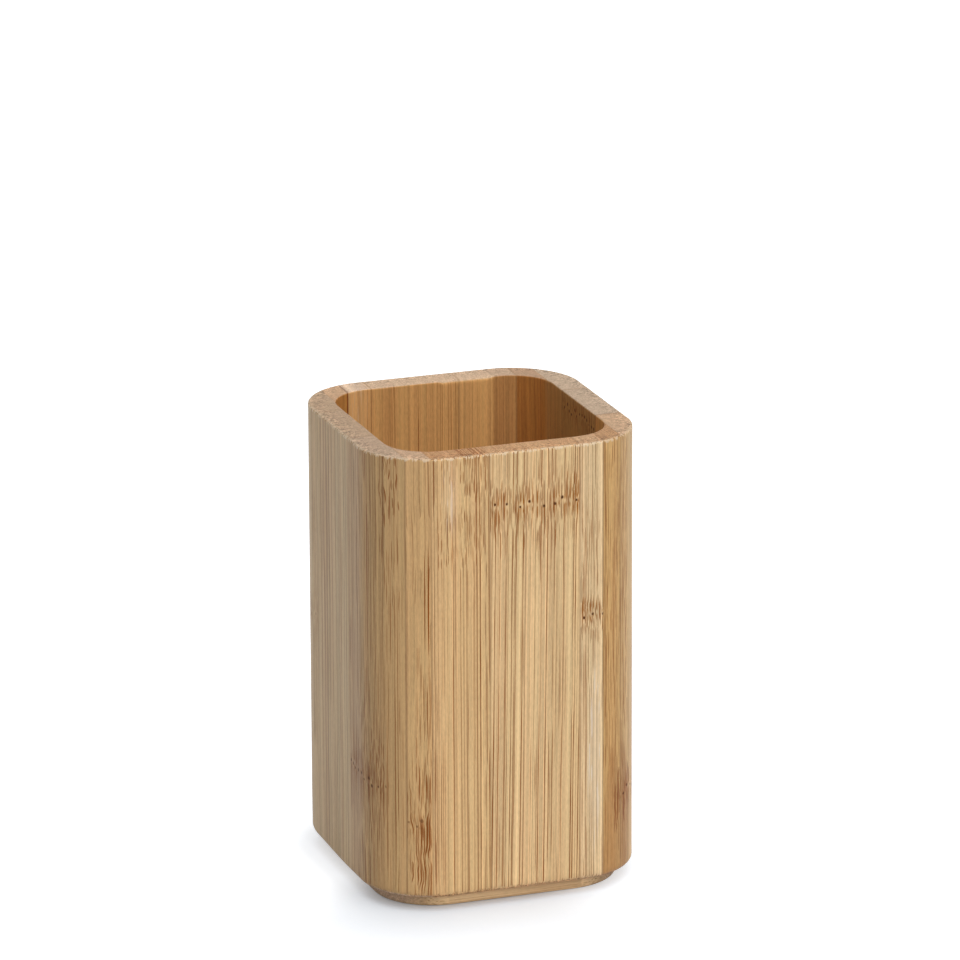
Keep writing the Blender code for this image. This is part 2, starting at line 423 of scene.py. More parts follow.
class TumblerShape(bpy.types.PropertyGroup):
    """Sizes of the milled form and of the wear on its edges."""

    wall: length_property("Wall", size_of("front_board_middle_strip").y, "Thickness of the walls")
    corner_radius: length_property("Corner radius", 0.0169, "Radius of the upright corners outside")
    base_corner_radius: length_property("Base corner radius", 0.0144, "Radius of the base's corners")
    rim_ease: length_property("Rim easing", 0.0004, "Radius sanded onto both edges of the rim")
    foot_ease: length_property("Foot easing", 0.0014, "Radius milled onto the walls' lower outside edge")
    base_ease: length_property("Base easing", 0.001, "Radius of the base board's lower edge")
    hairline: length_property("Glue line", 0.00003, "Width of the glue line between two pieces")
    chipping: length_property("Chipping", 0.00028, "Depth of the fibre ends broken out along the rim")
    unevenness: number_property("Unevenness", 0.9, "How much the sanding varies round the rim", min=0)
    worn_depth: length_property("Worn depth", 0.0006, "Extra easing where the rear rim was sanded most")
    foot_worn_depth: length_property("Worn foot depth", 0.0014, "Extra easing of the rear left foot")
    column_step: length_property("Column step", 0.0003, "Distance between the points round the form")


class TumblerFinish(bpy.types.PropertyGroup):
    """Colours of the bamboo and its gloss. A tint is what the bamboo is multiplied by."""

    cream: colour_property("Cream", (0.718, 0.52, 0.285), "The whitest strips")
    pale: colour_property("Pale", (0.715, 0.493, 0.25), "Pale strips")
    straw: colour_property("Straw", (0.672, 0.44, 0.208), "Straw-coloured strips")
    sand: colour_property("Sand", (0.452, 0.308, 0.149), "Greyish strips")
    tan: colour_property("Tan", (0.406, 0.255, 0.113), "Tan strips")
    amber: colour_property("Amber", (0.566, 0.352, 0.156), "Amber strips")
    honey: colour_property("Honey", (0.644, 0.413, 0.181), "Honey-coloured strips")
    russet: colour_property("Russet", (0.596, 0.357, 0.138), "The brownest strips")
    line_tint: colour_property("Fibre", (0.34, 0.155, 0.045), "Tint of a full fibre line")
    blush_tint: colour_property("Blush", (1.0, 0.905, 0.90), "Tint of the rosy bands")
    knot_tint: colour_property("Knot", (0.44, 0.22, 0.05), "Tint of the streaks about a joint")
    vein_tint: colour_property("Vein", (0.38, 0.18, 0.045), "Tint of the darkest streaks")
    pore_tint: colour_property("Pore", (0.12, 0.06, 0.03), "Tint of the pores of a joint")
    # Whitish flecks and rubbed wear; also the colour of the painted sheen on the end grain
    chalk: colour_property("Chalk", (0.80, 0.68, 0.54), "Whitish flecks")
    end_tint: colour_property("End grain", (0.75, 0.642, 0.638), "Tint of the end grain")
    # Painted shade: the inner faces are darkened and made more orange, as where the cup's inner walls lie in
    # shade
    inside_tint: colour_property("Inside", (0.86, 0.64, 0.415), "Tint of the inner faces")
    glue_tint: colour_property("Glue line", (0.28, 0.14, 0.06), "Glue that shows along a joint")
    gloss: number_property("Gloss", 0.46, "Roughness of the planed faces", min=0, max=1)
    relief: length_property("Relief", 0.00004, "Depth of the grain that can be felt")


class TumblerStudio(bpy.types.PropertyGroup):
    """Light and floor. The floor's lift is what the camera sees of it above its lit colour."""

    fill: number_property("Fill", 0.34, "Strength of the light from all round", min=0)
    fill_colour: colour_property("Fill colour", (0.93, 0.97, 1.0), "Colour of the light from all round")
    key: number_property("Key", 2.5, "Strength of the wide lamp in front", min=0)
    key_width: number_property("Key width", radians(75), "How wide it looks", subtype="ANGLE")
    key_elevation: number_property("Key elevation", radians(56), "How high it stands", subtype="ANGLE")
    floor: colour_property("Floor", (0.69, 0.72, 0.76), "Pale floor")
    lift: number_property("Floor lift", 0.5, "The floor's lift at the tumbler's foot", min=0)
    far_lift: number_property("Far floor lift", 0.75, "The same, away from the tumbler", min=0)
    shadow_reach: length_property("Shadow reach", 0.0095, "How far away the floor has turned white")
    # A low lift close in front paints a shadow on the floor there
    front_lift: number_property("Front lift", 0.09, "The floor's lift close in front", min=0)
    front_far_lift: number_property("Far front lift", 0.38, "The same, further off", min=0)
    front_reach: length_property("Front shadow reach", 0.026, "Where the floor in front has turned white")


def summed(operation, swapped=False):
    """A method that adds the node for a sum of two values."""

    def method(self, other):
        return self.net.sum(operation, *((other, self) if swapped else (self, other)))

    return method


class Value:
    """What comes out of a node. A sum with it adds the node that works it out."""

    def __init__(self, net, socket):
        self.net = net
        self.socket = socket

    __add__ = summed("ADD")
    __radd__ = summed("ADD", swapped=True)
    __sub__ = summed("SUBTRACT")
    __rsub__ = summed("SUBTRACT", swapped=True)
    __mul__ = summed("MULTIPLY")
    __truediv__ = summed("DIVIDE")
    __lt__ = summed("LESS_THAN")
    __gt__ = summed("GREATER_THAN")

    def __abs__(self):
        return self.net.math("ABSOLUTE", self)

    def clamped(self):
        self.socket.node.use_clamp = True
        return self

    def span(self, low, high, to_low=0.0, to_high=1.0, kind="LINEAR"):
        """Its place between low and high, clamped."""
        inputs = dict(enumerate((self, low, high, to_low, to_high)))
        return self.net.add("ShaderNodeMapRange", inputs, interpolation_type=kind)[0]

    def ease(self, low, high):
        """Its place between low and high, clamped, with soft ends."""
        return self.span(low, high, kind="SMOOTHSTEP")

    def length(self):
        return self.net.add("ShaderNodeVectorMath", {0: self}, operation="LENGTH")["Value"]

    def dot(self, other):
        inputs = {0: self, 1: other}
        return self.net.add("ShaderNodeVectorMath", inputs, operation="DOT_PRODUCT")["Value"]

    def axes(self):
        parts = self.net.add("ShaderNodeSeparateXYZ", {0: self})
        return [parts[axis] for axis in range(3)]

    def noise(self, detail=1.0, roughness=0.5, part="Fac"):
        inputs = {"Vector": self, "Scale": 1.0, "Detail": detail, "Roughness": roughness}
        return self.net.add("ShaderNodeTexNoise", inputs)[part]

    def cells(self):
        inputs = {"Vector": self, "Scale": 1.0}
        return self.net.add("ShaderNodeTexVoronoi", inputs, voronoi_dimensions="2D")


def is_wide(value):
    """Whether it is a vector or a colour."""
    return value.socket.type != "VALUE" if isinstance(value, Value) else not isinstance(value, (int, float))


class Net:
    """Adds nodes to a tree. Inputs are values of other nodes, which get linked, or plain ones."""

    def __init__(self, tree):
        self.tree = tree

    def feed(self, socket, value):
        if isinstance(value, Value):
            self.tree.links.new(value.socket, socket)
        else:
            socket.default_value = value

    def node(self, kind, inputs=None, **settings):
        made = self.tree.nodes.new(kind)
        for name, value in settings.items():
            setattr(made, name, value)
        for key, value in (inputs or {}).items():
            self.feed(made.inputs[key], value)
        return made

    def outputs(self, node):
        """What comes out of the node, by name and by number."""
        values = [Value(self, socket) for socket in node.outputs]
        return {value.socket.name: value for value in values} | dict(enumerate(values))

    def add(self, kind, inputs=None, **settings):
        return self.outputs(self.node(kind, inputs, **settings))

    def math(self, operation, *values):
        return self.add("ShaderNodeMath", dict(enumerate(values)), operation=operation)[0]

    def vector(self, operation, *values):
        return self.add("ShaderNodeVectorMath", dict(enumerate(values)), operation=operation)[0]

    def sum(self, operation, first, second):
        """A sum of two numbers, of two vectors, or of a vector and the number that scales it."""
        if not is_wide(first) and not is_wide(second):
            return self.math(operation, first, second)
        if operation == "MULTIPLY" and not is_wide(second):
            return self.add("ShaderNodeVectorMath", {0: first, "Scale": second}, operation="SCALE")[0]
        return self.vector(operation, first, second)

    def most(self, *values):
        """The largest of several masks, or zero where there is none."""
        result = values[0] if values else 0.0
        for value in values[1:]:
            result = self.math("MAXIMUM", result, value)
        return result

    def joined(self, x, y, z=0.0):
        return self.add("ShaderNodeCombineXYZ", {0: x, 1: y, 2: z})[0]

    def blend(self, factor, first, second, mode="MIX"):
        inputs = {0: factor, 6: first, 7: second}
        return self.add("ShaderNodeMix", inputs, data_type="RGBA", blend_type=mode, clamp_factor=True)[2]


FLOAT = "NodeSocketFloat"
VECTOR = "NodeSocketVector"
COLOUR = "NodeSocketColor"
GEOMETRY = "NodeSocketGeometry"
OBJECT = "NodeSocketObject"
SOCKETS = {"VALUE": FLOAT, "VECTOR": VECTOR, "RGBA": COLOUR, "GEOMETRY": GEOMETRY}


def label(name):
    return name.replace("_", " ").capitalize()


def built_tree(build, kind, names):
    """The node tree that a function builds, made once, with inputs of these names.

    The inputs are the function's parameters, and what it returns becomes the tree's outputs.
    """
    tree = bpy.data.node_groups.get(label(build.__name__))
    if tree:
        return tree
    tree = bpy.data.node_groups.new(label(build.__name__), kind)
    for name in names:
        socket_type = build.__annotations__.get(name, FLOAT)
        tree.interface.new_socket(label(name), in_out="INPUT", socket_type=socket_type)
    net = Net(tree)
    given = net.add("NodeGroupInput")
    results = build(net, **{name: given[label(name)] for name in names})
    for name, value in results.items():
        socket_type = SOCKETS[value.socket.type]
        tree.interface.new_socket(label(name), in_out="OUTPUT", socket_type=socket_type)
    net.node("NodeGroupOutput", {label(name): value for name, value in results.items()})
    return tree


def shader_group(build):
    """Turns a function that works values out into one that adds a node group which does so."""

    def added(net, **values):
        tree = built_tree(build, "ShaderNodeTree", values)
        inputs = {label(name): value for name, value in values.items()}
        node = net.node("ShaderNodeGroup", inputs, node_tree=tree)
        return {socket.name.lower(): Value(net, socket) for socket in node.outputs}

    return added


@shader_group
def cane_grain(
    net, vector: VECTOR, lot: VECTOR, inward: VECTOR, wander, plunge, swell, stir, cell, share, skin
):
    """The fibres of the cane, all running along Z: its bundles, fine lines and slow bands.

    Where the fibres swell towards the face, the planing cuts across them and leaves short dashes.
    """
    place = vector + lot

    def sway(scale, gain):
        return ((place * scale).noise(part="Color") - (0.5, 0.5, 0.5)) * gain

    drift = sway((0.06, 0.06, 0.014), wander * 7.0) + sway((0.7, 0.7, 0.09), wander * 1.3)
    drift = (drift + sway((0.55, 0.55, 0.3), stir * 0.15)) * (1, 1, 0)
    cut = ((place * (0.09, 0.09, 0.022)).noise() - 0.5) * (plunge * 5.0) + swell
    drift = drift + inward * cut
    place = place + drift
    along = place.axes()[2]

    def rods(cell_size):
        """(distance from the nearest fibre, its random values) of fibres laid this far apart."""
        found = (place * net.math("DIVIDE", 1.0, cell_size)).cells()
        return found["Distance"], found["Color"].axes()

    def run(chance, pace, low, high, least):
        """How a fibre's own tone comes and goes along it."""
        return net.joined(chance * 90.0, along * pace).noise().span(low, high, least, 1.0)

    def bundles(cell_size, radius, share):
        distance, chance = rods(cell_size)
        tone = chance[1].span(0.0, 1.0, 0.45, 1.0) * run(chance[2], 0.05, 0.35, 0.6, 0.65)
        return (distance - radius).ease(0.04, -0.04) * (chance[0] < share) * tone

    # Bundles lie closer and are darker towards the skin of the cane
    wide = bundles(cell, skin.span(0.0, 1.0, 0.17, 0.235), share * skin.span(0.0, 1.0, 0.55, 1.1))
    close = bundles(cell * 0.64, 0.24, share * skin.span(0.3, 1.0, 0.0, 0.5))

    def dashes(cell_size, pace):
        distance, chance = rods(cell_size)
        radius = run(chance[2], pace, 0.47, 0.58, 0.0) * chance[1].span(0.0, 1.0, 0.24, 0.36)
        return (distance - radius).ease(0.03, -0.08)

    def strand(scale, detail, low, high):
        return (place * scale).noise(detail, 0.6).span(low, high)

    return {
        "vector": vector + drift,
        "bundles": net.most(wide, close),
        "dashes": net.most(dashes(0.38, 0.12), dashes(0.52, 0.09)),
        "fibres": rods(0.32)[1][0],
        "lines": strand((2.1, 2.1, 0.012), 3.0, 0.3, 0.7),
        "bands": strand((0.8, 0.8, 0.005), 2.0, 0.32, 0.68),
        "blush": strand((0.45, 0.47, 0.006), 1.0, 0.35, 0.65),
        "clouds": strand((0.15, 0.15, 0.03), 2.0, 0.3, 0.7),
        "specks": strand((3.6, 3.6, 0.7), 2.0, 0.3, 0.7),
    }


@shader_group
def knot_reach(net, vector: VECTOR, lot: VECTOR, across, height, rise, reach, strength, middle, width):
    """How near a place is to a joint of the cane, and how far its fibres swell there."""
    sway = ((vector + lot) * (0.35, 0.35, 0.0)).noise()
    above = vector.axes()[2] - height - across * rise + (sway - 0.5) * 1.6
    away = abs(above)
    strength = strength * (abs(across - middle) / width).ease(1.0, 0.75)
    swell = away.ease(reach * 1.5, 0.0) * (strength * 0.4)
    return {"above": above, "strength": strength, "zone": away.ease(reach, 0.0) * strength, "swell": swell}


@shader_group
def knot_marks(net, above, across, reach, strength, spacing, phase, lash_spacing):
    """The marks of a joint of the cane: a row of pores, and brown lashes above and below it."""

    def row(spacing, phase, randomness):
        """(distance across, random values) of marks set this far apart in a row."""
        inputs = {"W": across / spacing + phase, "Scale": 1.0, "Randomness": randomness}
        mark = net.add("ShaderNodeTexVoronoi", inputs, voronoi_dimensions="1D")
        return mark["Distance"] * spacing, mark["Color"].axes()

    def jittered(chance, most_of_it):
        return above + chance.span(0.0, 1.0, -most_of_it, most_of_it)

    beside, chance = row(spacing, phase, 0.45)
    apart = net.joined(beside, jittered(chance[0], 0.9) * 0.8).length()
    size = chance[1].span(0.0, 1.0, 0.24, 0.4)

    def lashes(spacing, phase, share):
        beside, chance = row(spacing, phase, 0.9)
        level = jittered(chance[1], 0.7)
        up_or_down = abs(chance[0] - (level > 0.0))
        off = abs(level)
        taper = (1.0 - off / (reach * up_or_down.span(0.1, 1.0, 0.3, 1.5))).clamped()
        lash = (beside / (0.035 + taper * 0.075)).ease(1.3, 0.6)
        return lash * (taper.span(0.0, 0.3) * off.span(0.2, 0.9)) * (chance[2] < share)

    found = net.most(lashes(lash_spacing, 0.3, 0.8), lashes(lash_spacing * 0.6, 7.7, 0.45))
    return {
        "halo": apart.ease(1.5, 0.6) * strength,
        "pores": (apart / size).ease(1.3, 0.5) * strength,
        "lashes": found * strength,
    }


def bent(across, about, level, wave):
    """A place across the strip, shifted as the fibres about one place bend on their way up."""
    where = across.net.joined(about * 0.3, level * 0.16)
    return across - (where.noise() - 0.5) * wave * 5.0


def streak(aside, half_width, taper, soft):
    """One streak's strength at a place beside its middle line, where it tapers off along that."""
    return (abs(aside) / (half_width * (0.1 + taper))).ease(soft, 0.7) * taper.span(0.0, 0.4)


@shader_group
def cane_vein(net, across, level, place, low, high, half_width, strength, wave):
    """One dark streak along the fibres, tapered at both ends."""
    along = level.span(low, high, -1.0, 1.0)
    taper = 1.0 - along * along
    aside = bent(across, place, level, wave) - place
    return {"vein": streak(aside, half_width, taper, 1.15) * strength}


@shader_group
def cane_dashes(net, across, level, first, last, low, high, spacing, length, half_width, strength, wave):
    """A field of short fine streaks along the fibres, each tapered at both ends and none cut off."""
    pitch = net.joined(spacing, length, 1.0)
    place = net.joined(bent(across, across, level, wave), level) / pitch
    cell = place.cells()
    aside, along, _ = ((place - cell["Position"]) * pitch).axes()
    chance = cell["Color"].axes()
    along = along / (length * chance[0].span(0.0, 1.0, 0.25, 0.6))
    taper = (1.0 - along * along).clamped()
    dash = streak(aside, half_width, taper, 1.2) * chance[1].span(0.0, 1.0, 0.45, 1.0)
    middle = (cell["Position"] * pitch).axes()
    for part, least, greatest in ((middle[0], first, last), (middle[1], low, high)):
        dash = dash * (part > least) * (part < greatest)
    return {"dashes": dash * strength}


@shader_group
def cane_figure(net, vector: VECTOR, centre: VECTOR, spread: VECTOR, strength, depth):
    """A figure in the grain about one place: where its dashes show, and how far its fibres swell."""
    away = ((vector - centre) / spread).length()
    return {"zone": away.ease(1.0, 0.3) * strength, "swell": away.ease(1.7, 0.0) * depth}


def from_corner(net, axes, straight):
    """How far a place lies from the middle of the round corner that it is beside."""
    return net.joined(*(net.most(abs(part) - straight, 0.0) for part in axes[:2])).length()


@shader_group
def handled_edges(net, vector: VECTOR, rim, half_width, corner, wall, reach):
    """Where the tumbler is handled, a ragged pale fringe round the rim; and masks for painted shade on the
    inner faces and on the walls towards the foot.
    """
    axes = vector.axes()
    depth = (corner - from_corner(net, axes, half_width - corner)) / wall
    ticks = (vector * (2.3, 2.3, 0.3)).noise(1.0, 0.6)
    fringe = ((rim - axes[2]) / (reach * ticks.span(0.44, 0.6, 0.1, 1.3))).ease(1.0, 0.7)
    return {
        "rubbed": fringe * depth.span(0.13, 0.03) * ticks.span(0.43, 0.53, 0.1, 1.0),
        # Mask of the inner faces, which carry painted shade
        "inside": depth.span(0.93, 0.99),
        "outer": depth.span(0.62, 0.12),
        # Mask of the lowest few millimetres of the walls, where shade is painted towards the foot
        "foot": axes[2].ease(6.5, 3.2),
    }


@shader_group
def glue_line(net, vector: VECTOR, lot: VECTOR, across, low, high):
    """Glue that shows in places along the two long edges of a strip."""
    nearest = net.math("MINIMUM", across - low, high - across)
    patchy = ((vector + lot) * (0.6, 0.6, 0.035)).noise(2.0)
    glue = (nearest / patchy.span(0.35, 0.65, 0.05, 0.17)).ease(1.0, 0.4)
    return {"glue": glue * patchy.span(0.35, 0.6, 0.3, 1.0)}


@shader_group
def bamboo_surface(
    net, tissue: COLOUR, line_tint: COLOUR, blush_tint: COLOUR, knot_tint: COLOUR, vein_tint: COLOUR,
    pore_tint: COLOUR, chalk: COLOUR, end_tint: COLOUR, inside_tint: COLOUR, glue_tint: COLOUR, gloss, depth,
    bleach, marks, bundles, lines, bands, blush, clouds, specks, fibres, zone, halo, pores, veins, knots,
    pale_flecks, pale_zone, end, rubbed, inside, outer, foot, glue,
):
    """Colour, roughness and relief of the bamboo from everything that shows in it."""
    speckle = end * outer.span(0.0, 1.0, 0.15, 1.0)

    def on_end(face_value, end_value):
        return speckle.span(0.0, 1.0, face_value, end_value * 1.3)

    def off_middle(value, gain=1.0):
        return (value - 0.5) * gain

    # Ground tissue: straw, with rosy bands and fine paler and darker lines
    ground = net.blend(blush * 0.6, tissue, net.blend(1.0, tissue, blush_tint, "MULTIPLY"))
    shade = (
        1.0 + off_middle(lines) * on_end(0.2, 0.5) + off_middle(fibres) * on_end(0.17, 0.42)
        + off_middle(bands) * on_end(0.08, 0.5) + off_middle(specks) * on_end(0.19, 0.4)
        + off_middle(clouds, 0.08) + net.most(off_middle(marks, 0.8), 0.0) + halo * 0.07
    )
    shades = net.joined(shade, shade, shade)
    ground = ground * shades

    # Fibre bundles, the strip's own dark lines, pale flecks and the marks of joints
    dark = net.most(bundles * depth, net.most(off_middle(marks, -2.0), 0.0))
    dark = (dark + off_middle(lines, -0.17) + zone * 0.13).clamped()
    deep = ground * line_tint
    colour = net.blend(dark * (1.0 - pale_zone * 0.35), ground, deep)
    colour = net.blend(pale_zone * 0.2, colour, chalk)
    colour = net.blend(pale_flecks * 0.85, colour, chalk)
    for shown, tint in ((knots, knot_tint), (veins, vein_tint), (pores, pore_tint)):
        colour = net.blend(shown, colour, ground * tint)

    # End grain with painted sheen, inner faces with painted shade, glue and wear
    colour = net.blend(end, colour, net.blend(bleach, colour * end_tint, chalk * shades))
    # Painted shade on the inner faces, apart from their end grain
    colour = net.blend(inside * (1.0 - end), colour, colour * inside_tint)
    colour = net.blend(glue * 0.4, colour, glue_tint)
    colour = net.blend(rubbed * 0.8, colour, net.blend(0.45, tissue, chalk))
    rough = gloss + off_middle(lines, -0.12) + end * 0.22 + (knots + pores) * 0.2 + bundles * 0.06
    return {
        # Painted shade: the walls turn a little darker towards the foot, by the shadow gap above the base
        # board
        "color": net.blend(foot * 0.1, colour, deep),
        "roughness": rough.clamped(),
        "height": lines * 0.5 - bundles * 0.5 - pores * 1.2 - knots * 0.3,
    }


def tone_ramp(net, cane, across, low, high):
    """The strip's own grain lines, as a grey ramp from its low edge to its high one."""
    ramp = net.node("ShaderNodeValToRGB", {0: across.span(low, high)})

    def ground(place):
        """What the flat lines give at a place between them and the narrow ones."""
        return 0.5 + sum(line.tone for line in cane.lines if line.place < place < line.place + line.flat)

    stops = {}
    for line in cane.lines:
        start, end = -line.half_width, line.flat + line.half_width
        tones = [(start, 0), (0, line.tone), (line.flat, line.tone), (end, 0)]
        if not line.flat:
            tones = [(offset, tone + ground(line.place) - 0.5) for offset, tone in tones]
        for offset, tone in tones:
            stops[round((line.place + offset - low) / (high - low), 4)] = 0.5 + tone
    stops = {place: tone for place, tone in sorted(stops.items()) if 0 < place < 1}
    elements = ramp.color_ramp.elements
    for element, edge in ((elements[0], low), (elements[-1], high)):
        element.color = (*[ground(edge)] * 3, 1)
    for place, tone in list(stops.items())[:MOST_STOPS]:
        elements.new(place).color = (tone, tone, tone, 1)
    return net.outputs(ramp)["Color"]


def bamboo(node, shape, finish):
    """The finish of one strip, with its grain upright, or from side to side in the base board."""
    cane = CANES[node]
    in_base = node.startswith("base")
    material = bpy.data.materials.new(node)
    material.use_nodes = True
    net = Net(material.node_tree)
    coordinates = net.add("ShaderNodeTexCoord")
    turn = (0, radians(-90), 0) if in_base else (0, cane.lean, 0)
    inputs = {"Location": (-cane.lean * LEAN_LEVEL, 0, 0), "Rotation": turn, "Scale": (MM, MM, MM)}
    place = net.add("ShaderNodeMapping", {"Vector": coordinates["Object"], **inputs})[0]
    axes = place.axes()
    axis, skin_axis = "xyz".index(cane.across), "xyz".index(cane.skin_axis)
    inward = Vector((0, 0, 0))
    inward[skin_axis] = 1 if cane.skin[0] > cane.skin[1] else -1
    at = {"vector": place, "lot": cane.lot}
    beside = {"across": axes[axis], "level": axes[2]}

    knots = [
        knot_reach(
            net, **at, across=axes[axis], height=knot.height, rise=knot.rise, reach=knot.reach,
            strength=knot.strength, middle=knot.middle, width=knot.width,
        )
        for knot in cane.knots
    ]

    def figures(spots):
        found = []
        for spot in spots:
            centre, spread = Vector((0, 0, spot.height)), Vector((ANYWHERE, ANYWHERE, spot.reach))
            centre[axis], spread[axis] = spot.across, spot.width
            found.append(cane_figure(
                net, vector=place, centre=centre, spread=spread, strength=spot.strength, depth=spot.swell
            ))
        return found

    def most_of(found, name):
        return net.most(*(one[name] for one in found))

    dark, pale = figures(cane.dark), figures(cane.pale)
    stir = most_of(knots, "zone")
    grain = cane_grain(
        net, **at, inward=inward, wander=cane.wander, plunge=cane.plunge,
        swell=most_of(knots + dark, "swell"), stir=stir, cell=cane.cell, share=cane.share,
        skin=axes[skin_axis].span(*cane.skin),
    )
    across = grain.pop("vector").axes()[axis]
    dashes = grain.pop("dashes")
    marks = [
        knot_marks(
            net, above=reach["above"], across=across, reach=knot.reach, strength=reach["strength"],
            spacing=knot.spacing, phase=knot.phase, lash_spacing=LASH_SPACING,
        )
        for knot, reach in zip(cane.knots, knots)
    ]
    veins = [cane_vein(net, **beside, **vein._asdict())["vein"] for vein in cane.veins]
    veins += [cane_dashes(net, **beside, **field._asdict())["dashes"] for field in cane.dashes]
    pale_zone = most_of(pale, "zone")
    dark_dashes = (dashes * most_of(dark, "zone")).clamped()
    millimetres = coordinates["Object"] * MM
    low, high = (corner[axis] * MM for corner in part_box(node))
    edges = handled_edges(
        net, vector=millimetres, rim=CAD_HIGH.z * MM, half_width=CAD_HIGH.x * MM,
        corner=shape.corner_radius * MM, wall=shape.wall * MM, reach=FRINGE_REACH,
    )
    result = bamboo_surface(
        net, **grain, **edges, **{name: (*getattr(finish, name), 1) for name in TINTS},
        **glue_line(net, **at, across=millimetres.axes()[axis], low=low, high=high),
        tissue=(*getattr(finish, cane.finish), 1), gloss=finish.gloss, depth=cane.depth, bleach=cane.bleach,
        marks=tone_ramp(net, cane, across, low, high), zone=stir, halo=most_of(marks, "halo"),
        pores=most_of(marks, "pores"), knots=net.most(*(mark["lashes"] for mark in marks), dark_dashes),
        veins=net.most(*veins), pale_flecks=(dashes * pale_zone).clamped(), pale_zone=pale_zone,
        end=abs(coordinates["Normal"].axes()[0 if in_base else 2]).ease(0.35, 0.8),
    )
    bump = {"Strength": 0.5, "Distance": finish.relief, "Height": result["height"]}
    inputs = {
        "Base Color": result["color"], "Roughness": result["roughness"], "IOR": 1.45,
        "Specular IOR Level": 0.2, "Normal": net.add("ShaderNodeBump", bump)[0],
    }
    for name, value in inputs.items():
        net.feed(material.node_tree.nodes["Principled BSDF"].inputs[name], value)
    return material


def wall_section(name, thickness, foot, height):
    """The cross-section that the milling leaves, as a closed curve. X is the inset and Y the level."""
    near = [share * EDGE_REACH for share in EDGE_SHARES]
    middle = [foot + (height - foot) * step / FACE_LEVELS for step in range(1, FACE_LEVELS)]
    levels = {foot + depth for depth in near} | {height - depth for depth in near}
    levels |= {level for level in middle if foot + EDGE_REACH < level < height - EDGE_REACH}
    insets = sorted(set(near + [thickness - depth for depth in near]))
    insets = [inset for inset in insets if 0 <= inset <= thickness]
    points = [(0, level) for level in sorted(levels, reverse=True)]
    points += [(inset, foot) for inset in insets[1:]]
    points += [(thickness, level) for level in sorted(levels)[1:]]
    points += [(inset, height) for inset in reversed(insets[1:-1])]
    curve = bpy.data.curves.new(name, "CURVE")
    curve.dimensions = "3D"
    spline = curve.splines.new("POLY")
    spline.points.add(len(points) - 1)
    for point, (inset, level) in zip(spline.points, points):
        point.co = (inset, level, 0, 1)
    spline.use_cyclic_u = True
    return linked(name, curve)


def linked(name, data):
    """A new object in the scene."""
    made = bpy.data.objects.new(name, data)
    bpy.context.collection.objects.link(made)
    return made


def captured(net, geometry, **values):
    """The geometry and the vectors that it keeps on its points."""
    node = net.node("GeometryNodeCaptureAttribute", {0: geometry})
    for name, value in values.items():
        node.capture_items.new("VECTOR", name)
        net.feed(node.inputs[name], value)
    return net.outputs(node)


def rounded_over(net, inset, drop, radius):
    """(inset, drop) of a point after an edge that both are measured from is rounded to the radius."""
    in_reach = net.most(radius - inset, 0.0)
    down_reach = net.most(radius - drop, 0.0)
    away = net.joined(in_reach, down_reach).length()
    moved = 1.0 - net.math("MINIMUM", radius / net.most(away, 1e-7), 1.0)
    return inset + in_reach * moved, drop + down_reach * moved


def milled_form_tree(
    net, section: OBJECT, width, depth, corner_radius, wall, foot, height, rim_easing, foot_easing, chipping,
    unevenness, worn_place: VECTOR, worn_reach, worn_depth, worn_foot_place: VECTOR, worn_foot_reach,
    worn_foot_depth, column_step, filled: "NodeSocketBool",
):
    """Sweeps the wall section round a rounded rectangle, and eases its edges by hand-worn amounts."""
    path = net.add("GeometryNodeCurvePrimitiveQuadrilateral", {"Width": width, "Height": depth})[0]
    fillet = {"Curve": path, "Count": CORNER_POINTS, "Radius": corner_radius}
    path = net.add("GeometryNodeFilletCurve", fillet, mode="POLY")[0]
    path = net.add("GeometryNodeResampleCurve", {"Curve": path, "Length": column_step}, mode="LENGTH")[0]
    position = net.add("GeometryNodeInputPosition")[0]
    path = captured(net, path, outline=position, direction=net.add("GeometryNodeInputTangent")[0])
    section = net.add("GeometryNodeObjectInfo", {"Object": section})["Geometry"]
    section = captured(net, section, place=position)
    curves = {"Curve": path["Geometry"], "Profile Curve": section["Geometry"]}
    swept = net.add("GeometryNodeCurveToMesh", curves)[0]

    outline = path["outline"]
    inset, level, _ = section["place"].axes()

    def sanded(noise):
        return rim_easing * (1.0 + (noise - 0.5) * unevenness)

    def worn(place, reach, full):
        """How much of the wear about a place is found here."""
        return ((outline - place).length() / reach).ease(1.0, full)

    chips = (outline * 2300.0).noise(2.0, 0.7).span(0.48, 0.75) * chipping
    outer_radius = sanded((outline * 130.0).noise()) + chips
    inner_radius = sanded((outline * 170.0 + (7.3, 1.9, 4.1)).noise())
    inner_radius = inner_radius + worn(worn_place, worn_reach, 0.75) * worn_depth
    foot_radius = foot_easing + worn(worn_foot_place, worn_foot_reach, 0.3) * worn_foot_depth
    inset, drop = rounded_over(net, inset, height - level, outer_radius)
    from_inside, drop = rounded_over(net, wall - inset, drop, inner_radius)
    inset, above_foot = rounded_over(net, wall - from_inside, height - drop - foot, foot_radius)

    inward = net.vector("NORMALIZE", net.vector("CROSS_PRODUCT", (0, 0, 1), path["direction"]))
    inward = inward * (net.math("SIGN", inward.dot(outline)) * -1.0)
    placed = outline + inward * inset + net.joined(0.0, 0.0, foot + above_foot)
    moved = net.add("GeometryNodeSetPosition", {"Geometry": swept, "Position": placed})[0]
    forms = {"False": moved, "True": net.add("GeometryNodeConvexHull", {0: moved})[0]}
    form = net.add("GeometryNodeSwitch", {"Switch": filled, **forms}, input_type="GEOMETRY")[0]
    return {"geometry": net.add("GeometryNodeRealizeInstances", {0: form})[0]}


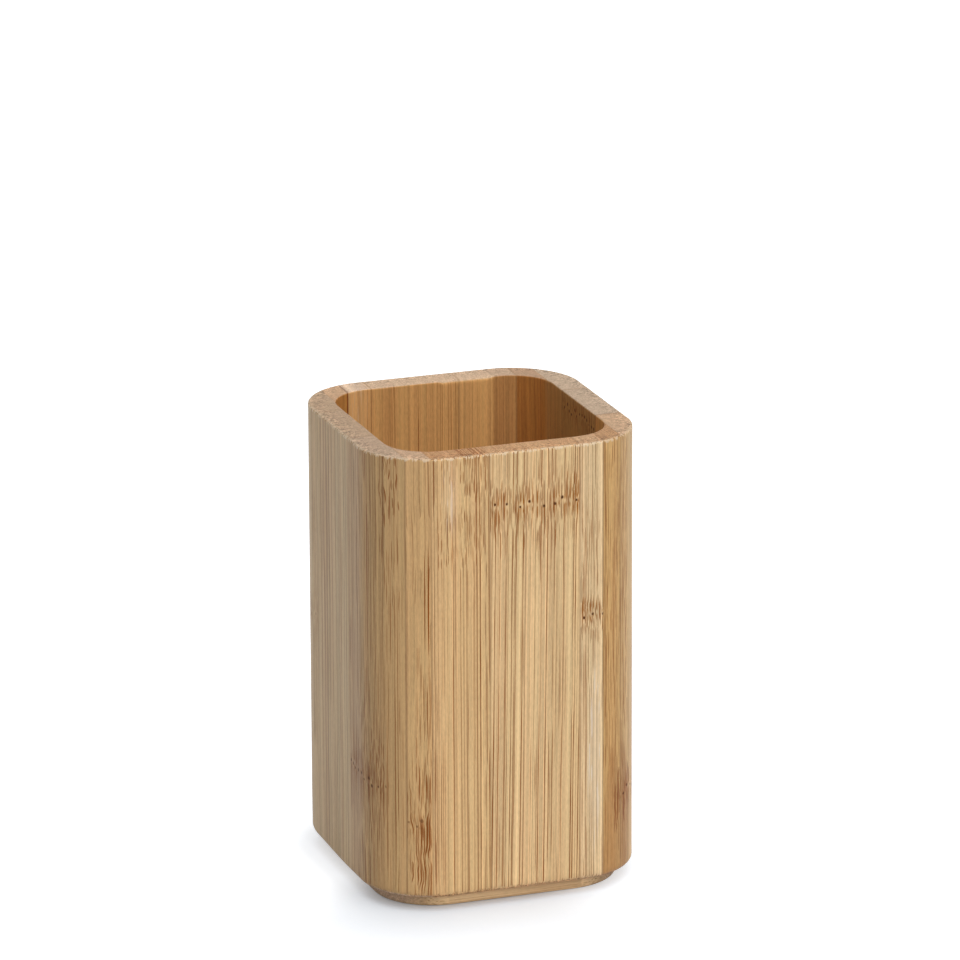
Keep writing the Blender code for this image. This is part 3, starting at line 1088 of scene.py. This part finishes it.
def sawn_strip_tree(
    net, form: OBJECT, low_corner: VECTOR, high_corner: VECTOR, sharp_angle, material: "NodeSocketMaterial"
):
    """Keeps what lies both in the milled form and in a strip's square-edged blank."""
    blank = net.add("GeometryNodeMeshCube", {"Size": high_corner - low_corner})[0]
    middle = (high_corner + low_corner) * 0.5
    blank = net.add("GeometryNodeTransform", {"Geometry": blank, "Translation": middle})[0]
    cut = net.node("GeometryNodeMeshBoolean", operation="INTERSECT", solver="MANIFOLD")
    net.feed(cut.inputs[1], net.add("GeometryNodeObjectInfo", {"Object": form})["Geometry"])
    net.feed(cut.inputs[1], blank)
    soft = net.add("GeometryNodeInputMeshEdgeAngle")["Unsigned Angle"] < sharp_angle
    shaded = net.add("GeometryNodeSetShadeSmooth", {0: net.outputs(cut)[0]}, domain="FACE")[0]
    shaded = net.add("GeometryNodeSetShadeSmooth", {0: shaded, "Shade Smooth": soft}, domain="EDGE")[0]
    real = net.add("GeometryNodeRealizeInstances", {0: shaded})[0]
    return {"geometry": net.add("GeometryNodeSetMaterial", {0: real, "Material": material})[0]}


def made_by(name, build, **values):
    """A new object whose plain mesh a geometry node tree makes from the named values."""
    tree = built_tree(build, "GeometryNodeTree", values)
    made = linked(name, bpy.data.meshes.new(name))
    modifier = made.modifiers.new(tree.name, "NODES")
    modifier.node_group = tree
    inputs = {label(key): value for key, value in values.items()}
    for item in tree.interface.items_tree:
        if item.in_out == "INPUT" and item.name in inputs:
            modifier[item.identifier] = inputs[item.name]
    graph = bpy.context.evaluated_depsgraph_get()
    mesh = bpy.data.meshes.new_from_object(made.evaluated_get(graph), depsgraph=graph)
    if not mesh.polygons:
        raise RuntimeError(f"{name}: the geometry nodes made no faces")
    made.modifiers.clear()
    made.data = mesh
    mesh.name = name
    return made


def milled_form(shape, filled):
    """The finished walls in one ring, or the finished base board in one slab."""
    base = size_of("base_middle_strip")
    if filled:
        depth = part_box("base_rear_strip")[1].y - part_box("base_front_strip")[0].y
        values = dict(
            width=base.x, depth=depth, corner_radius=shape.base_corner_radius, wall=SOLID_WALL, foot=0.0,
            height=base.z, rim_easing=BASE_RIM_EASE, foot_easing=shape.base_ease,
            **dict.fromkeys(("chipping", "unevenness", "worn_depth", "worn_foot_depth"), 0.0),
            **dict.fromkeys(("worn_reach", "worn_foot_reach"), 1.0),
            **dict.fromkeys(("worn_place", "worn_foot_place"), (0.0, 0.0, 0.0)),
        )
    else:
        size = CAD_HIGH - CAD_LOW
        values = dict(
            width=size.x, depth=size.y, corner_radius=shape.corner_radius, wall=shape.wall,
            foot=base.z + shape.hairline, height=CAD_HIGH.z, rim_easing=shape.rim_ease,
            foot_easing=shape.foot_ease, chipping=shape.chipping, unevenness=shape.unevenness,
            worn_place=(WORN_RIM_X, CAD_HIGH.y, 0), worn_reach=WORN_RIM_REACH, worn_depth=shape.worn_depth,
            worn_foot_place=(CAD_LOW.x, CAD_HIGH.y, 0), worn_foot_reach=WORN_FOOT_REACH,
            worn_foot_depth=shape.foot_worn_depth,
        )
    section = wall_section("section", values["wall"], values["foot"], values["height"])
    form = made_by(
        "milled_form", milled_form_tree, **values, section=section, column_step=shape.column_step,
        filled=filled,
    )
    bpy.data.objects.remove(section)
    return form


def blank_of(node, hairline):
    """The limits of the strip's blank: it ends half a glue line from where two neighbours meet."""
    low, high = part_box(node)
    limits = [low - Vector([SAW_ALLOWANCE] * 3), high + Vector([SAW_ALLOWANCE] * 3)]
    if not node.startswith("base"):
        for axis in (0, 1):
            if limits[0][axis] * limits[1][axis] > 0:
                limits[1 if low[axis] + high[axis] < 0 else 0][axis] = 0
    for axis, *row in ROWS:
        for before, after in zip(row, row[1:]):
            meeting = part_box(after)[0][axis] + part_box(before)[1][axis]
            if node == after:
                limits[0][axis] = (meeting + hairline) / 2
            if node == before:
                limits[1][axis] = (meeting - hairline) / 2
    return limits


def make_strips(context, start):
    """Cuts the strips whose names start so from their milled form, and puts each in its node's place."""
    shape = context.scene.tumbler_shape
    form = milled_form(shape, filled=start == "base")
    for node in [name for name in CANES if name.startswith(start)]:
        low, high = blank_of(node, shape.hairline)
        piece = made_by(
            f"{node}_bamboo", sawn_strip_tree, form=form, low_corner=low, high_corner=high,
            sharp_angle=SHARP_ANGLE, material=bamboo(node, shape, context.scene.tumbler_finish),
        )
        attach(piece, BODY)
        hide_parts(node)
    bpy.data.objects.remove(form)
    return {"FINISHED"}


class TUMBLER_OT_left_plank(bpy.types.Operator):
    """Make the strips of the left side plank"""

    bl_idname = "tumbler.left_plank"
    bl_label = "Left Plank"

    def execute(self, context):
        return make_strips(context, "left_plank")


class TUMBLER_OT_right_plank(bpy.types.Operator):
    """Make the strips of the right side plank"""

    bl_idname = "tumbler.right_plank"
    bl_label = "Right Plank"

    def execute(self, context):
        return make_strips(context, "right_plank")


class TUMBLER_OT_front_board(bpy.types.Operator):
    """Make the strips of the front board"""

    bl_idname = "tumbler.front_board"
    bl_label = "Front Board"

    def execute(self, context):
        return make_strips(context, "front_board")


class TUMBLER_OT_rear_board(bpy.types.Operator):
    """Make the strips of the rear board"""

    bl_idname = "tumbler.rear_board"
    bl_label = "Rear Board"

    def execute(self, context):
        return make_strips(context, "rear_board")


class TUMBLER_OT_corner_blocks(bpy.types.Operator):
    """Make the four corner blocks"""

    bl_idname = "tumbler.corner_blocks"
    bl_label = "Corner Blocks"

    def execute(self, context):
        return make_strips(context, "corner_block")


class TUMBLER_OT_base_board(bpy.types.Operator):
    """Make the strips of the base board"""

    bl_idname = "tumbler.base_board"
    bl_label = "Base Board"

    def execute(self, context):
        return make_strips(context, "base")


def seen_ray(net):
    """One for what the camera sees, straight, in a reflection or through glass."""
    path = net.add("ShaderNodeLightPath")
    seen = (path["Is Camera Ray"] + path["Is Glossy Ray"]).clamped()
    return (seen + path["Is Transmission Ray"]).clamped()


def make_world(studio):
    """Soft light from all round, with a white background for what is seen."""
    world = bpy.data.worlds.new("studio")
    world.use_nodes = True
    net = Net(world.node_tree)
    seen = seen_ray(net)
    background = world.node_tree.nodes["Background"]
    net.feed(background.inputs["Color"], net.blend(seen, (*studio.fill_colour, 1), WHITE))
    net.feed(background.inputs["Strength"], seen.span(0.0, 1.0, studio.fill, 1.0))
    bpy.context.scene.world = world


def floor_lift(net, studio):
    """How much whiter the floor is seen than it is lit: least in the contact shadow round the foot, and
    lowest close in front, which paints a shadow there.
    """
    corner = bpy.context.scene.tumbler_shape.corner_radius
    place = net.add("ShaderNodeTexCoord")["Object"]
    away = from_corner(net, place.axes(), CAD_HIGH.x - corner) - corner
    beside = away.span(studio.shadow_reach / 5, studio.shadow_reach, studio.lift, studio.far_lift)
    before = away.span(0.0, studio.front_reach, studio.front_lift, studio.front_far_lift)
    toward_painted_shadow = net.vector("NORMALIZE", place).dot(PAINTED_SHADOW_SIDE).ease(0.35, 0.95)
    return (before - beside) * toward_painted_shadow + beside


def make_floor(studio):
    """A pale floor that keeps the tumbler's shadow, with a painted shadow close in front, and is white in
    the open.
    """
    half = FLOOR_SIZE / 2
    corners = [(-half, -half, 0), (half, -half, 0), (half, half, 0), (-half, half, 0)]
    mesh = bpy.data.meshes.new("floor")
    mesh.from_pydata(corners, [], [(0, 1, 2, 3)])
    material = bpy.data.materials.new("floor")
    material.use_nodes = True
    net = Net(material.node_tree)
    inputs = {
        "Base Color": (*studio.floor, 1), "Roughness": 0.9, "Specular IOR Level": 0, "Emission Color": WHITE,
        "Emission Strength": seen_ray(net) * floor_lift(net, studio),
    }
    for name, value in inputs.items():
        net.feed(material.node_tree.nodes["Principled BSDF"].inputs[name], value)
    mesh.materials.append(material)
    linked("floor", mesh)


def make_key(studio):
    """A very wide, far lamp, so that the light is even over the floor and its shadows are soft."""
    lamp = bpy.data.lights.new("key", "SUN")
    lamp.energy = studio.key
    lamp.angle = studio.key_width
    key = linked("key", lamp)
    key.location = direction(0, studio.key_elevation)
    key.rotation_euler = key.location.to_track_quat("Z", "Y").to_euler()


def direction(azimuth, elevation):
    """From the tumbler towards a place round it. Azimuth 0 is in front, and 90 degrees to the right."""
    return Vector((sin(azimuth) * cos(elevation), -cos(azimuth) * cos(elevation), sin(elevation)))


def make_camera():
    """The camera that took the photograph."""
    lens = bpy.data.cameras.new("camera")
    lens.lens = LENS
    lens.sensor_width = SENSOR
    lens.clip_start, lens.clip_end = CLIPPING
    camera = linked("camera", lens)
    back = direction(AZIMUTH, ELEVATION)
    right = Vector((cos(AZIMUTH), sin(AZIMUTH), 0))
    up = back.cross(right)
    turned = (right * cos(ROLL) + up * sin(ROLL), up * cos(ROLL) - right * sin(ROLL), back)
    placed = Matrix.Translation(TARGET + back * DISTANCE)
    camera.matrix_world = placed @ Matrix(turned).transposed().to_4x4()
    bpy.context.scene.camera = camera


class TUMBLER_OT_studio(bpy.types.Operator):
    """Set the camera, the floor and the light"""

    bl_idname = "tumbler.studio"
    bl_label = "Studio"

    def execute(self, context):
        studio = context.scene.tumbler_studio
        make_world(studio)
        make_floor(studio)
        make_key(studio)
        make_camera()
        context.scene.view_settings.view_transform = "Standard"
        return {"FINISHED"}


OPERATORS = (
    TUMBLER_OT_studio, TUMBLER_OT_left_plank, TUMBLER_OT_right_plank, TUMBLER_OT_front_board,
    TUMBLER_OT_rear_board, TUMBLER_OT_corner_blocks, TUMBLER_OT_base_board,
)
SETTINGS = {"tumbler_shape": TumblerShape, "tumbler_finish": TumblerFinish, "tumbler_studio": TumblerStudio}


class TUMBLER_PT_sidebar(bpy.types.Panel):
    """Sizes, colours and steps of the tumbler"""

    bl_idname = "TUMBLER_PT_sidebar"
    bl_label = "Bamboo Tumbler"
    bl_space_type = "VIEW_3D"
    bl_region_type = "UI"
    bl_category = "Tumbler"

    def draw(self, context):
        for name in SETTINGS:
            settings = getattr(context.scene, name)
            box = self.layout.box()
            for key in settings.__annotations__:
                box.prop(settings, key)
        for operator in OPERATORS:
            self.layout.operator(operator.bl_idname)


CLASSES = (*SETTINGS.values(), *OPERATORS, TUMBLER_PT_sidebar)


def register():
    for made in CLASSES:
        bpy.utils.register_class(made)
    for name, group in SETTINGS.items():
        setattr(bpy.types.Scene, name, PointerProperty(type=group))


def unregister():
    for name in SETTINGS:
        delattr(bpy.types.Scene, name)
    for made in reversed(CLASSES):
        bpy.utils.unregister_class(made)


def main():
    register()
    bpy.ops.tumbler.studio()
    bpy.ops.tumbler.left_plank()
    bpy.ops.tumbler.right_plank()
    bpy.ops.tumbler.front_board()
    bpy.ops.tumbler.rear_board()
    bpy.ops.tumbler.corner_blocks()
    bpy.ops.tumbler.base_board()


if __name__ == "__main__":
    main()
